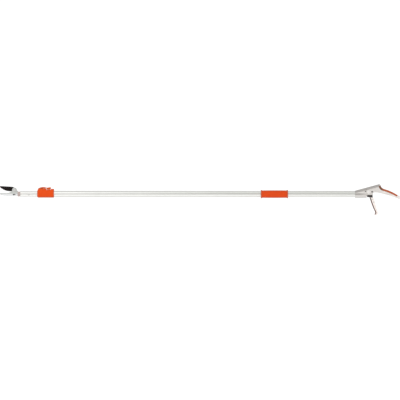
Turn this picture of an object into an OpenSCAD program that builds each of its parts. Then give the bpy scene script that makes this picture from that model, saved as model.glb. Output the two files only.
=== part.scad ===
// Telescoping pole pruner: bypass jaws on an inner pole, flip lock, grip, cast handle and squeeze lever.
// X runs along the pole, jaws at -X, Z up; the origin is on the pole at the front grip's middle.

/* [Poles] */
// Rear end of the outer pole, behind the grip
outer_rear_x = 421; // [415:1:422]
// Front end of the outer pole, inside the lock
outer_front_x = -1050; // [-1052:1:-1046]
// Front end of the inner pole, at the neck collar
inner_front_x = -1169; // [-1169:0.5:-1168]
// Rear end of the inner pole when retracted
inner_rear_x = 310; // [200:5:310]
// Radius of the section's upper lobe
upper_lobe_r = 9.5; // [9.4:0.05:9.6]
// Radius of the section's lower lobe
lower_lobe_r = 6.5; // [6.4:0.05:6.6]
// Radius of the long groove in each side
groove_r = 4; // [3.9:0.05:4.1]
// Wall of the outer pole
outer_wall = 1.5; // [1.3:0.05:1.5]
// Wall of the inner pole
inner_wall = 1.3; // [1:0.05:1.3]

/* [Cutting head] */
// Thickness of the cutting blade
blade_t = 3; // [2.4:0.1:3]
// Thickness of the counter blade
counter_t = 4; // [3.5:0.1:4.2]
// Radius of the boss around the blade's pivot
head_boss_r = 11; // [10.9:0.1:11.3]
// Radius of the blade pivot bolt's shank
blade_bolt_r = 4; // [3.5:0.1:4.2]

/* [Flip lock] */
// Half the width of the lock housing
lock_half_w = 13; // [12.5:0.1:14]
// Radius of the lock lever's hinge pin
lock_pin_r = 2; // [1.6:0.1:2.2]
// Height that the brake shoe lifts when the lever opens
shoe_lift = 1.2; // [0.8:0.1:1.3]

/* [Front grip] */
// Length of the front grip over its flanges
grip_len = 124.6; // [110:1:130]
// Radius of the grip's body
grip_r = 17; // [16.6:0.1:18]
// Radius of the grip's end flanges
grip_flange_r = 19; // [18.6:0.1:21]

/* [Handle] */
// Half the width of the handle casting
casting_half_w = 12; // [12:0.1:13.5]
// Half the width of the squeeze lever
trigger_half_w = 8.5; // [7.5:0.1:9.5]
// Radius of the squeeze lever's pivot bolt
trigger_bolt_r = 4; // [3.6:0.1:4]
// Radius of the hanging hole in the tail
hang_hole_r = 3; // [2.5:0.1:3.2]

/* [Hidden] */
$fn = 48;

// Colours of the real materials
bare_aluminium = [0.86, 0.86, 0.87];
cast_silver = [0.78, 0.79, 0.80];
bright_steel = [0.72, 0.73, 0.75];
black_steel = [0.14, 0.12, 0.12];
orange = [0.89, 0.28, 0.05];
dark_orange = [0.72, 0.24, 0.08];
black_rubber = [0.08, 0.08, 0.08];
brass = [0.78, 0.62, 0.30];
white_plastic = [0.90, 0.90, 0.88];

// Small gaps (seats of fixed pieces, running fits, loose clearance) and the reach of cuts
seat_gap = 0.05;
run_gap = 0.05;
loose_gap = 0.3;
cut_margin = 1;
through = 20;

// The pole's section: two lobes one above the other, with a groove between them in each side
upper_lobe_z = 5.5;
lower_lobe_z = -7.5;
lobe_gap = upper_lobe_z - lower_lobe_z;
upper_reach = upper_lobe_r + groove_r;
lower_reach = lower_lobe_r + groove_r;
groove_drop = (upper_reach * upper_reach - lower_reach * lower_reach + lobe_gap * lobe_gap) / (2 * lobe_gap);
groove_z = upper_lobe_z - groove_drop;
groove_y = sqrt(upper_reach * upper_reach - groove_drop * groove_drop);
upper_tangent = asin(groove_drop / upper_reach);
lower_tangent = asin((lobe_gap - groove_drop) / lower_reach);
pole_clearance = 0.45;
inner_inset = outer_wall + pole_clearance;
inner_bore_inset = inner_inset + inner_wall;

// Line of the pull bars, and the bars themselves
pull_z = -2;
bar_h = 8;
bar_t = 2;
bar_gap = 0.15;
pull_travel = 9.76;
pull_pin_r = 2.5;
eye_r = 3.9;
eye_half_w = 2.4;

// Handle: the lever's pivot, and the cavity in the casting for its yoke
pivot_x = 433.8;
pivot_z = 9.5;
cavity_half_w = 5.5;
cavity_rear_x = 465;
cavity_top_z = 20;
rear_pin_x = pivot_x - pull_travel / 2;
yoke_half_w = 4.6;
fork_half_gap = 2.6;
bush_wall = 1.5;

// Head: the blade's pivot, and the layers from near to far
blade_pivot_x = -1195.5;
blade_pivot_z = 19.3;
blade_near_y = -1.1;
blade_far_y = blade_near_y + blade_t;
counter_far_y = -1.4;
counter_near_y = counter_far_y - counter_t;
cheek_near_y = 4.4;
cheek_far_y = 7.9;
link_near_y = 2.2;
link_far_y = 4.1;
drive_pin_x = blade_pivot_x - pull_travel / 2;
link_rivet_x = -1186.5;
neck_top_z = 9.7;
neck_bottom_z = -8.3;

// Lock: the lever's hinge and its spiral cam
hinge_x = -1077;
hinge_z = 22;
cam_r = 6.2;
cam_half_w = 5;
lock_lever_travel = 80;
shoe_top_z = hinge_z - cam_r - loose_gap;
lock_front_x = -1090.5;
lock_rear_x = -1013.8;
lock_bottom_z = -16.2;
lock_half_h = 21.7;
lock_mid_z = lock_bottom_z + lock_half_h;

// Points on an arc, and on a curve with one control point
function arc(cx, cz, r, from, to, steps) =
    [for (i = [0:steps]) let (a = from + (to - from) * i / steps) [cx + r * cos(a), cz + r * sin(a)]];
function curve(p, c, q, steps) =
    [for (i = [0:steps]) let (t = i / steps) (1 - t) * (1 - t) * p + 2 * t * (1 - t) * c + t * t * q];

// The pole's section, moved inwards by inset
module pole_section(inset) {
    fine = 32;
    coarse = 8;
    left = arc(-groove_y, groove_z, groove_r + inset, upper_tangent, -lower_tangent, coarse);
    right = arc(groove_y, groove_z, groove_r + inset, 180 + lower_tangent, 180 - upper_tangent, coarse);
    polygon(concat(
        arc(0, upper_lobe_z, upper_lobe_r - inset, -upper_tangent, 180 + upper_tangent, fine),
        [for (i = [1:coarse - 1]) left[i]],
        arc(0, lower_lobe_z, lower_lobe_r - inset, 180 - lower_tangent, 360 + lower_tangent, fine),
        [for (i = [1:coarse - 1]) right[i]]
    ));
}

// Extrudes a section drawn in Y and Z along X
module along_x(x0, x1) {
    translate([x0, 0, 0]) rotate([90, 0, 90]) linear_extrude(x1 - x0) children();
}

// Extrudes an outline drawn in X and Z along Y
module along_y(y0, y1) {
    translate([0, y1, 0]) rotate([90, 0, 0]) linear_extrude(y1 - y0) children();
}

module rod_y(x, z, r, y0, y1) {
    translate([x, y0, z]) rotate([-90, 0, 0]) cylinder(r = r, h = y1 - y0);
}

module rod_z(x, y, r, z0, z1) {
    translate([x, y, z0]) cylinder(r = r, h = z1 - z0);
}

module box_between(low, high) {
    translate(low) cube(high - low);
}

// A bolt or rivet head with a chamfered rim, from its seat at y0 out to y1
module head_y(x, z, r, y0, y1) {
    chamfer = abs(y1 - y0) * 0.4;
    translate([x, y0, z]) rotate([y1 > y0 ? -90 : 90, 0, 0]) rotate_extrude()
        polygon([[0, 0], [r, 0], [r, abs(y1 - y0) - chamfer],
            [r - chamfer, abs(y1 - y0)], [0, abs(y1 - y0)]]);
}

// A straight slot with round ends between two points of an outline
module slot_between(a, b, r) {
    run = norm(b - a);
    translate(a) circle(r = r);
    translate(b) circle(r = r);
    translate(a) rotate(atan2(b[1] - a[1], b[0] - a[0])) translate([0, -r]) square([run, 2 * r]);
}

// ---------------------------------------------------------------- poles

module outer_pole() {
    color(bare_aluminium) difference() {
        along_x(outer_front_x, outer_rear_x) difference() {
            pole_section(0);
            pole_section(outer_wall);
        }
        rod_z(lock_set_screw_x, 0, set_screw_r, lock_bottom_z - cut_margin, upper_lobe_z);
        for (x = handle_rivet_x) rod_y(x, handle_rivet_z, handle_rivet_r, 0, casting_half_w);
    }
}

module inner_pole() {
    color(bare_aluminium) difference() {
        along_x(inner_front_x, inner_rear_x) difference() {
            pole_section(inner_inset);
            pole_section(inner_bore_inset);
        }
        rod_y(neck_rivet_x, groove_z, neck_rivet_r, -casting_half_w, 0);
        rod_y(neck_far_rivet_x, neck_far_rivet_z, neck_rivet_r, 0, casting_half_w);
    }
}

// Plastic bush on the inner pole's rear end, which runs in the outer pole
module inner_pole_bush() {
    bush_len = 25;
    flange_t = 4;
    color(white_plastic) {
        along_x(inner_rear_x - bush_len, inner_rear_x) difference() {
            pole_section(outer_wall + run_gap);
            pole_section(inner_inset);
        }
        along_x(inner_rear_x, inner_rear_x + flange_t) difference() {
            pole_section(outer_wall + run_gap);
            pole_section(inner_bore_inset);
        }
    }
}

// ---------------------------------------------------------------- flip lock

set_screw_r = 2;
lock_set_screw_x = -1030;
lock_screw_r = 1.8;
lock_screw_head_r = 3.2;
lock_screw_places = [[-1055, 21.5], [-1020.5, 19.6]];
lever_tail_z = 20.2;

module lock_outline() {
    polygon([
        [lock_front_x + 1.5, lock_bottom_z + 2], [lock_front_x, lock_bottom_z + 6], [lock_front_x, 14],
        [-1086, 26], [-1084, 27.2], [-1054, 27.2], [-1049, 24.2], [-1046, 18.6], [-1028, 18.6], [-1027.4, 23],
        [-1026, 24], [-1015.5, 24], [lock_rear_x, 22], [lock_rear_x, lock_bottom_z + 3],
        [lock_rear_x - 2, lock_bottom_z], [lock_front_x + 5, lock_bottom_z]
    ]);
}

module lock_section() {
    corner = 5;
    square([2 * lock_half_w, 2 * (lock_half_h - corner)], center = true);
    square([2 * (lock_half_w - corner), 2 * lock_half_h], center = true);
    for (side = [-1, 1]) {
        for (end = [-1, 1]) {
            translate([side * (lock_half_w - corner), end * (lock_half_h - corner)]) circle(r = corner);
        }
    }
}

// Both halves of the housing with the bore, the shoe's window, the lever's well and a rib under its tail
module lock_body() {
    well_half_w = cam_half_w + loose_gap;
    rib_half_w = 4;
    difference() {
        union() {
            intersection() {
                along_y(-lock_half_w, lock_half_w) lock_outline();
                along_x(lock_front_x - cut_margin, lock_rear_x + cut_margin)
                    translate([0, lock_mid_z]) lock_section();
            }
            box_between([-1045.4, -rib_half_w, 15], [-1028.6, rib_half_w, lever_tail_z - loose_gap]);
        }
        along_x(lock_front_x + 3, lock_rear_x + cut_margin) pole_section(-seat_gap);
        along_x(lock_front_x - cut_margin, lock_front_x + 4) pole_section(inner_inset - loose_gap);
        box_between([-1083.8, -well_half_w, 8], [-1064, well_half_w, 40]);
        box_between([-1095, -well_half_w, 17], [-1070, well_half_w, 40]);
        rod_y(hinge_x, hinge_z, lock_pin_r, -11, 11);
        rod_z(lock_set_screw_x, 0, set_screw_r, lock_bottom_z - cut_margin, 0);
        for (place = lock_screw_places) {
            rod_y(place[0], place[1], lock_screw_r, -lock_half_w + 4, lock_half_w + cut_margin);
            rod_y(place[0], place[1], lock_screw_head_r, lock_half_w - 2.5, lock_half_w + cut_margin);
        }
    }
}

module lock_housing_near() {
    color(orange) intersection() {
        lock_body();
        box_between([lock_front_x - cut_margin, -through, -through],
            [lock_rear_x + cut_margin, -seat_gap, 2 * through]);
    }
}

module lock_housing_far() {
    color(orange) intersection() {
        lock_body();
        box_between([lock_front_x - cut_margin, seat_gap, -through],
            [lock_rear_x + cut_margin, through, 2 * through]);
    }
}

module lock_screws() {
    color(bright_steel) {
        for (place = lock_screw_places) {
            rod_y(place[0], place[1], lock_screw_r, -lock_half_w + 4, lock_half_w - 2.5);
            head_y(place[0], place[1], lock_screw_head_r, lock_half_w - 2.5, lock_half_w - 0.3);
        }
        rod_z(lock_set_screw_x, 0, set_screw_r, lock_bottom_z + 0.4, -12.5);
    }
}

module lock_hinge_pin() {
    color(bright_steel) rod_y(hinge_x, hinge_z, lock_pin_r, -11, 11);
}

// Sleeve in front of the outer pole that guides the inner pole, with a window for the brake shoe
module lock_liner() {
    color(white_plastic) difference() {
        along_x(lock_front_x + 4.2, outer_front_x - seat_gap) difference() {
            pole_section(0);
            pole_section(inner_inset - run_gap);
        }
        box_between([-1084.5, -6, 8], [-1069.5, 6, 30]);
    }
}

module lock_lever() {
    color(orange) difference() {
        union() {
            along_y(-cam_half_w, cam_half_w) {
                translate([hinge_x, hinge_z]) circle(r = cam_r - shoe_lift);
                cam_bulge();
                polygon(concat(
                    [[hinge_x, hinge_z], [hinge_x - 4.6, hinge_z + 2], [hinge_x - 5, hinge_z + 5.6]],
                    curve([-1081, 28.4], [-1075.5, 32], [-1068, 31.8], 6),
                    [[-1065, 31], [-1064.6, 25], [hinge_x + 5, hinge_z - 2.5]]
                ));
            }
            along_y(-lock_half_w + 1.5, lock_half_w - 1.5) polygon(concat(
                [[-1071.5, 27.6], [-1071, 29.8]],
                curve([-1069.5, 31.6], [-1063, 34.4], [-1050, 30.6], 9),
                curve([-1047, 29.9], [-1040, 29.4], [-1036, 31.6], 5),
                [[-1030, 31.6], [-1027.8, 29.8], [-1028.4, 25.5], [-1030, 21], [-1033, lever_tail_z],
                    [-1043.5, lever_tail_z], [-1045, 21], [-1047.6, 26], [-1050, 27.6]]
            ));
        }
        rod_y(hinge_x, hinge_z, lock_pin_r + run_gap, -lock_half_w, lock_half_w);
    }
}

// The pressing side of the cam, from straight down round to the side that follows it down
module cam_bulge() {
    steps = 12;
    span = 100;
    fall = shoe_lift / lock_lever_travel;
    polygon(concat(
        [[hinge_x, hinge_z]],
        [for (i = [0:steps]) let (a = span * i / steps, r = cam_r - fall * min(a, lock_lever_travel))
            [hinge_x - r * sin(a), hinge_z - r * cos(a)]],
        [[hinge_x, hinge_z + 1]]
    ));
}

// Shoe under the cam, hollowed underneath to fit the inner pole
module brake_shoe() {
    shoe_gap = loose_gap;
    color(black_rubber) difference() {
        box_between([-1082.5, -cam_half_w + 0.2, 9.5], [-1071.5, cam_half_w - 0.2, shoe_top_z]);
        along_x(-1090, -1050) pole_section(inner_inset - shoe_gap);
    }
}

// ---------------------------------------------------------------- front grip

module front_grip() {
    flange_t = 6;
    barrel = 0.45;
    half = grip_len / 2;
    inner_half = half - flange_t;
    barrel_steps = 8;
    color(orange) difference() {
        translate([-half, 0, 0]) rotate([0, 90, 0]) rotate_extrude() polygon(concat(
            [[0, 0], [grip_flange_r - 1.5, 0], [grip_flange_r, 1.5], [grip_flange_r, flange_t - 1],
                [grip_flange_r - 0.6, flange_t], [grip_r, flange_t + 0.8]],
            [for (i = [1:barrel_steps - 1]) let (t = 2 * i / barrel_steps - 1)
                [grip_r + barrel * (1 - t * t), half + t * (inner_half - 2)]],
            [[grip_r, grip_len - flange_t - 0.8], [grip_flange_r - 0.6, grip_len - flange_t],
                [grip_flange_r, grip_len - flange_t + 1], [grip_flange_r, grip_len - 1.5],
                [grip_flange_r - 1.5, grip_len], [0, grip_len]]
        ));
        along_x(-half - cut_margin, half + cut_margin) pole_section(-seat_gap);
    }
}

// ---------------------------------------------------------------- handle

handle_rivet_x = [386, 404];
handle_rivet_z = 6;
handle_rivet_r = 2;
sleeve_front_x = 370.8;
sleeve_rear_x = 424;
tail_hole = [579, -17.4];
handle_screw = [418.4, 12.2];
handle_screw_r = 2.6;
handle_screw_tip_y = -8.8;

// The casting's top line from the sleeve over the horn and down the palm rest, lowered by drop
function top_line(drop) = concat(
    [[sleeve_front_x, 15.8 - drop], [478, 44.6 - drop], [482, 46.2 - drop], [485.5, 44.5 - drop]],
    curve([488, 40 - drop], [491, 27 - drop], [505, 23.2 - drop], 7),
    curve([506, 22.9 - drop], [540, 13 - drop], [567, -5.5 - drop], 9),
    curve([569, -6.4 - drop], [577, -10.5 - drop], [588, -14.6 - drop], 3)
);

// Its lower line from the tail back to the yoke's cavity
lower_line = concat(
    [[592, -18], [592.5, -21.5], [590, -26], [586.5, -27.3]],
    curve([575, -22.5], [535, -7], [495, 2.6], 8),
    curve([493, 3.3], [482, 7.2], [462, 7.6], 4),
    [[453.6, 6], [453.6, -4.1], [428, -4.1], [sleeve_rear_x, -6]]
);

module casting_side(drop) {
    polygon(concat(top_line(drop), lower_line, [[sleeve_rear_x, -16.4], [sleeve_front_x, -17]]));
}

// Strip of the palm pad along the top line, whose upper edge can be raised to cut the casting clear of it
module pad_outline(raised = 0) {
    up = [0, raised];
    polygon(concat(
        curve([487.2, 41.5] + up, [491, 27] + up, [505, 23.2] + up, 7),
        curve([506, 22.9] + up, [540, 13] + up, [566.5, -5.1] + up, 9),
        [[563.5, -10.8]],
        curve([559, -9.8], [536, 3.8], [505, 13.8], 9),
        curve([503, 14.4], [484, 17], [479, 35.4], 7)
    ));
}

module handle_casting() {
    sleeve_wall = 2.4;
    bevel = 4;
    screw_boss_r = 4.6;
    color(cast_silver) difference() {
        union() {
            intersection() {
                along_y(-casting_half_w - 1, casting_half_w + 1) casting_side(0);
                along_x(sleeve_front_x, sleeve_rear_x + 4) union() {
                    pole_section(-sleeve_wall);
                    translate([-casting_half_w + bevel, 0]) square([2 * (casting_half_w - bevel), 40]);
                }
            }
            difference() {
                union() {
                    along_y(-casting_half_w + bevel, casting_half_w - bevel) casting_side(0);
                    along_y(-casting_half_w, casting_half_w) casting_side(bevel);
                }
                box_between([sleeve_front_x - cut_margin, -through, -2 * through],
                    [sleeve_rear_x, through, 3 * through]);
            }
            rod_y(handle_screw[0], handle_screw[1], screw_boss_r, -casting_half_w, -6);
        }
        along_x(sleeve_front_x - cut_margin, outer_rear_x + seat_gap) pole_section(-seat_gap);
        box_between([outer_rear_x - 1, -cavity_half_w, -10], [cavity_rear_x, cavity_half_w, cavity_top_z]);
        along_y(-through, through) {
            pad_outline();
            pad_outline(3);
        }
        rod_y(pivot_x, pivot_z, trigger_bolt_r, -through, through);
        rod_y(tail_hole[0], tail_hole[1], hang_hole_r, -through, through);
        rod_y(anchor_x, anchor_z, anchor_r, -through, -cavity_half_w + 1);
        for (x = handle_rivet_x) rod_y(x, handle_rivet_z, handle_rivet_r, 0, through);
        rod_y(handle_screw[0], handle_screw[1], handle_screw_r, -through, handle_screw_tip_y);
    }
}

module handle_pad() {
    pad_proud = 0.8;
    color(orange) along_y(-casting_half_w - pad_proud, casting_half_w + pad_proud) pad_outline();
}

module handle_rivets() {
    color(bright_steel) for (x = handle_rivet_x) {
        rod_y(x, handle_rivet_z, handle_rivet_r, 8.1, 12);
        head_y(x, handle_rivet_z, 3.4, 11.9, 13);
    }
}

// Socket screw in the near side of the sleeve
module handle_set_screw() {
    socket_r = 1.4;
    head_y = -casting_half_w + 0.5;
    color(black_steel) difference() {
        rod_y(handle_screw[0], handle_screw[1], handle_screw_r, head_y, handle_screw_tip_y);
        translate([handle_screw[0], head_y + 1.5, handle_screw[1]]) rotate([90, 0, 0])
            cylinder(r = socket_r, h = 4, $fn = 6);
    }
}

// Plug that guides the rear bar where it leaves the outer pole
module rear_guide_plug() {
    plug_front_x = 380;
    plug_rear_x = 411;
    color(white_plastic) difference() {
        along_x(plug_front_x, plug_rear_x) pole_section(outer_wall + seat_gap);
        box_between([plug_front_x - 1, -bar_gap - bar_t - loose_gap, pull_z - bar_h / 2 - loose_gap],
            [plug_rear_x + 1, loose_gap - bar_gap, pull_z + bar_h / 2 + loose_gap]);
    }
}

module trigger_pivot_bolt() {
    head_r = 9;
    socket_r = 3;
    color(bright_steel) difference() {
        union() {
            rod_y(pivot_x, pivot_z, trigger_bolt_r, -casting_half_w, 16);
            head_y(pivot_x, pivot_z, head_r, -casting_half_w, -casting_half_w - 3);
        }
        translate([pivot_x, -casting_half_w - 1, pivot_z]) rotate([90, 0, 0])
            cylinder(r = socket_r, h = 4, $fn = 6);
    }
}

module trigger_pivot_nut() {
    nut_r = 7.5;
    nut_t = 5;
    color(bright_steel) difference() {
        translate([pivot_x, casting_half_w, pivot_z]) rotate([-90, 0, 0])
            cylinder(r = nut_r, h = nut_t, $fn = 6);
        rod_y(pivot_x, pivot_z, trigger_bolt_r, casting_half_w - 1, 30);
    }
}

module trigger_washers() {
    washer_r = 7.5;
    color(bright_steel) for (side = [-1, 1]) difference() {
        near = side < 0 ? -cavity_half_w : yoke_half_w + 0.15;
        far = side < 0 ? -yoke_half_w - 0.15 : cavity_half_w;
        rod_y(pivot_x, pivot_z, washer_r, near, far);
        rod_y(pivot_x, pivot_z, trigger_bolt_r, near - 1, far + 1);
    }
}

// Torsion spring around the lever's bush, with a fixed leg up and a moving leg down
module return_spring() {
    wire_r = 0.7;
    coil_r = 6.5;
    pitch = 1.3;
    color(bright_steel) union() {
        for (turn = [-1:1]) {
            translate([pivot_x, turn * pitch, pivot_z]) rotate([90, 0, 0]) rotate_extrude()
                translate([coil_r, 0]) circle(r = wire_r, $fn = 24);
        }
        rod_z(pivot_x - coil_r, -pitch, wire_r * 0.9, pivot_z, cavity_top_z - 0.5);
        rod_z(pivot_x + coil_r, pitch, wire_r * 0.9, 3, pivot_z);
    }
}

anchor_x = 449;
anchor_z = 10.6;
anchor_r = 3.8;

module spring_anchor_pin() {
    color(black_rubber) rod_y(anchor_x, anchor_z, anchor_r, -casting_half_w + 0.6, -cavity_half_w);
}

// ---------------------------------------------------------------- squeeze lever

trigger_root_z = -15.5;
trigger_front = concat(
    curve([438.2, trigger_root_z], [448.6, -52], [462.6, -80], 9),
    curve([463.8, -83], [465.6, -89], [459.3, -93.6], 4)
);
trigger_pad_depth = 4.55;
trigger_rivet_places = [[449.5, -24], [456.5, -37]];
trigger_rivet_r = 2.2;

// The pad's rear face, a little behind the front edge all along
function behind_front(gap) = [for (p = trigger_front) p + [gap, 0]];

module trigger_lever() {
    front = behind_front(trigger_pad_depth + seat_gap);
    color(cast_silver) difference() {
        along_y(-trigger_half_w, trigger_half_w) polygon(concat(
            front,
            [[462, -96.5], [468, -97.4], [473, -95]],
            curve([475.6, -90], [476.5, -84], [473, -76], 4),
            curve([472, -73.4], [464, -47], [457.2, -19.5], 7),
            [[451, trigger_root_z]]
        ));
        box_between([430, -yoke_half_w - seat_gap, -44], [470, yoke_half_w + seat_gap, trigger_root_z + 1]);
        for (place = trigger_rivet_places) rod_y(place[0], place[1], trigger_rivet_r, -through, through);
    }
}

module trigger_pad() {
    pad_proud = 0.7;
    back = behind_front(trigger_pad_depth);
    color(dark_orange) along_y(-trigger_half_w - pad_proud, trigger_half_w + pad_proud) polygon(concat(
        trigger_front,
        [for (i = [len(back) - 1:-1:0]) back[i]]
    ));
}

// Fork that straddles the rear bar's eye; the pull pin runs in a radial slot in each arm
module trigger_yoke() {
    slot_from = pivot_point_on_fork(11.3);
    slot_to = pivot_point_on_fork(12.7);
    slot_r = pull_pin_r + loose_gap;
    color(black_steel) difference() {
        union() {
            for (side = [-1, 1]) {
                inner = side * fork_half_gap;
                outer = side * yoke_half_w;
                along_y(min(inner, outer), max(inner, outer)) {
                    translate([pivot_x, pivot_z]) circle(r = 8);
                    polygon([
                        [pivot_x - 7.8, pivot_z], [pivot_x + 7.8, pivot_z],
                        [446, 0], [451.5, -5], [452.3, -14],
                        [458.6, -34], [458, -42], [453, -43], [444.8, -17], [443.6, -15.2], [427, -13.8],
                        [425.6, -8], [423, -5.5], [422.9, 0]
                    ]);
                }
            }
            along_y(-fork_half_gap, fork_half_gap) polygon([
                [447, -8], [451.9, -9], [452.3, -14], [458.6, -34], [458, -42], [453, -43], [444.8, -17],
                [445.5, -13.5]
            ]);
        }
        rod_y(pivot_x, pivot_z, trigger_bolt_r + bush_wall, -through, through);
        along_y(-through, through) slot_between(slot_from, slot_to, slot_r);
        for (place = trigger_rivet_places) rod_y(place[0], place[1], trigger_rivet_r, -through, through);
    }
}

// A point on the line from the lever's pivot through the pull pin at rest
function pivot_point_on_fork(r) =
    let (dx = rear_pin_x - pivot_x, dz = pull_z - pivot_z, run = norm([dx, dz]))
    [pivot_x + dx / run * r, pivot_z + dz / run * r];

module trigger_rivets() {
    color(bright_steel) for (place = trigger_rivet_places) {
        rod_y(place[0], place[1], trigger_rivet_r, -trigger_half_w, trigger_half_w);
        head_y(place[0], place[1], 3.2, -trigger_half_w, -trigger_half_w - 0.8);
        head_y(place[0], place[1], 3.2, trigger_half_w, trigger_half_w + 0.8);
    }
}

module trigger_bush() {
    color(brass) difference() {
        rod_y(pivot_x, pivot_z, trigger_bolt_r + bush_wall, -yoke_half_w, yoke_half_w);
        rod_y(pivot_x, pivot_z, trigger_bolt_r + run_gap, -through, through);
    }
}

// ---------------------------------------------------------------- pull bars

module rear_pull_bar() {
    bar_front_x = -1040;
    boss_front_x = 416;
    color(bright_steel) difference() {
        union() {
            box_between([bar_front_x, -bar_gap - bar_t, pull_z - bar_h / 2],
                [boss_front_x + 1, -bar_gap, pull_z + bar_h / 2]);
            along_y(-eye_half_w, eye_half_w) {
                translate([rear_pin_x, pull_z]) circle(r = eye_r);
                translate([boss_front_x, pull_z - eye_r + 0.2])
                    square([rear_pin_x - boss_front_x, 2 * eye_r - 0.4]);
            }
        }
        rod_y(rear_pin_x, pull_z, pull_pin_r, -through, through);
    }
}

module rear_bar_pin() {
    color(bright_steel) rod_y(rear_pin_x, pull_z, pull_pin_r, -yoke_half_w - 0.2, yoke_half_w + 0.2);
}

clutch_front_x = 318;
clutch_rear_x = 345;
clutch_rivet_x = [323, 340];
clutch_rivet_r = 1.2;

module front_pull_bar() {
    color(bright_steel) difference() {
        union() {
            box_between([link_rivet_x, bar_gap, pull_z - bar_h / 2],
                [clutch_rear_x, bar_gap + bar_t, pull_z + bar_h / 2]);
            rod_y(link_rivet_x, pull_z, bar_h / 2 - 0.1, bar_gap, bar_gap + bar_t);
        }
        rod_y(link_rivet_x, pull_z, 2, -through, through);
        for (x = clutch_rivet_x) rod_y(x, pull_z, clutch_rivet_r, 0, through);
    }
}

// Block on the front bar's rear end that grips the rear bar, so the two join at any length
module rod_clutch() {
    half_h = bar_h / 2 + loose_gap;
    color(bright_steel) difference() {
        along_x(clutch_front_x, clutch_rear_x) pole_section(outer_wall + 2 * loose_gap);
        box_between([clutch_front_x - 1, -bar_gap - bar_t - loose_gap, pull_z - half_h],
            [clutch_rear_x + 1, bar_gap + bar_t, pull_z + half_h]);
        for (x = clutch_rivet_x) rod_y(x, pull_z, clutch_rivet_r, 0, through);
    }
}

module clutch_rivets() {
    color(bright_steel) for (x = clutch_rivet_x) rod_y(x, pull_z, clutch_rivet_r, bar_gap, 3.6);
}

module draw_link() {
    color(bright_steel) difference() {
        along_y(link_near_y, link_far_y) slot_between([drive_pin_x, pull_z], [link_rivet_x, pull_z], 4.2);
        rod_y(drive_pin_x, pull_z, pull_pin_r, 0, through);
        rod_y(link_rivet_x, pull_z, 2, 0, through);
    }
}

module link_rivet() {
    color(bright_steel) rod_y(link_rivet_x, pull_z, 2, bar_gap, link_far_y + 0.05);
}

module drive_pin() {
    color(black_steel) rod_y(drive_pin_x, pull_z, pull_pin_r, counter_near_y + 0.4, link_far_y);
}

// ---------------------------------------------------------------- cutting head

neck_rivet_x = -1129;
neck_rivet_r = 2.2;
neck_far_rivet_x = -1148;
neck_far_rivet_z = 7;
frame_rivet_x = [-1178.2, -1172.2];
frame_rivet_z = 6.2;
frame_rivet_r = 1.6;

module neck_collar() {
    front_x = -1180.6;
    corner = 4;
    half_w = 9.6;
    top_z = 11.6;
    bottom_z = -10.6;
    color(dark_orange) along_x(front_x, inner_front_x - seat_gap) difference() {
        union() {
            translate([-half_w, bottom_z + corner]) square([2 * half_w, top_z - bottom_z - 2 * corner]);
            translate([-half_w + corner, bottom_z]) square([2 * (half_w - corner), top_z - bottom_z]);
            for (y = [-1, 1]) {
                for (z = [bottom_z + corner, top_z - corner]) {
                    translate([y * (half_w - corner), z]) circle(r = corner);
                }
            }
        }
        translate([counter_near_y - 1, neck_bottom_z - 0.1])
            square([cheek_far_y + 1 - counter_near_y + 0.8, neck_top_z - neck_bottom_z + 0.2]);
    }
}

// Casting that carries both blades; its rear end plugs into the inner pole
module head_frame() {
    neck_x = -1184.4;
    plug_rear_x = -1112;
    channel_half_h = bar_h / 2 + loose_gap;
    color(cast_silver) difference() {
        union() {
            box_between([neck_x, counter_far_y + seat_gap, neck_bottom_z],
                [inner_front_x, cheek_far_y, neck_top_z]);
            along_x(inner_front_x - 0.01, plug_rear_x) pole_section(inner_bore_inset + seat_gap);
            along_y(cheek_near_y, cheek_far_y) {
                translate([blade_pivot_x, blade_pivot_z]) circle(r = 10);
                polygon([
                    [blade_pivot_x - 9.6, blade_pivot_z - 3], [blade_pivot_x + 9.6, blade_pivot_z + 2.8],
                    [-1180, neck_top_z], [-1180, neck_bottom_z], [-1190, neck_bottom_z], [-1196, -2]
                ]);
            }
        }
        box_between([neck_x - 20, -bar_gap, pull_z - channel_half_h - 0.2],
            [inner_front_x, cheek_near_y, pull_z + channel_half_h + 0.2]);
        box_between([inner_front_x - 1, -bar_gap, pull_z - channel_half_h],
            [plug_rear_x + 1, casting_half_w, pull_z + channel_half_h]);
        rod_y(blade_pivot_x, blade_pivot_z, blade_bolt_r, -through, through);
        for (x = frame_rivet_x) rod_y(x, frame_rivet_z, frame_rivet_r, -through, through);
        rod_y(neck_rivet_x, groove_z, neck_rivet_r, -through, 0);
        rod_y(neck_far_rivet_x, neck_far_rivet_z, neck_rivet_r, 3, through);
    }
}

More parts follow.
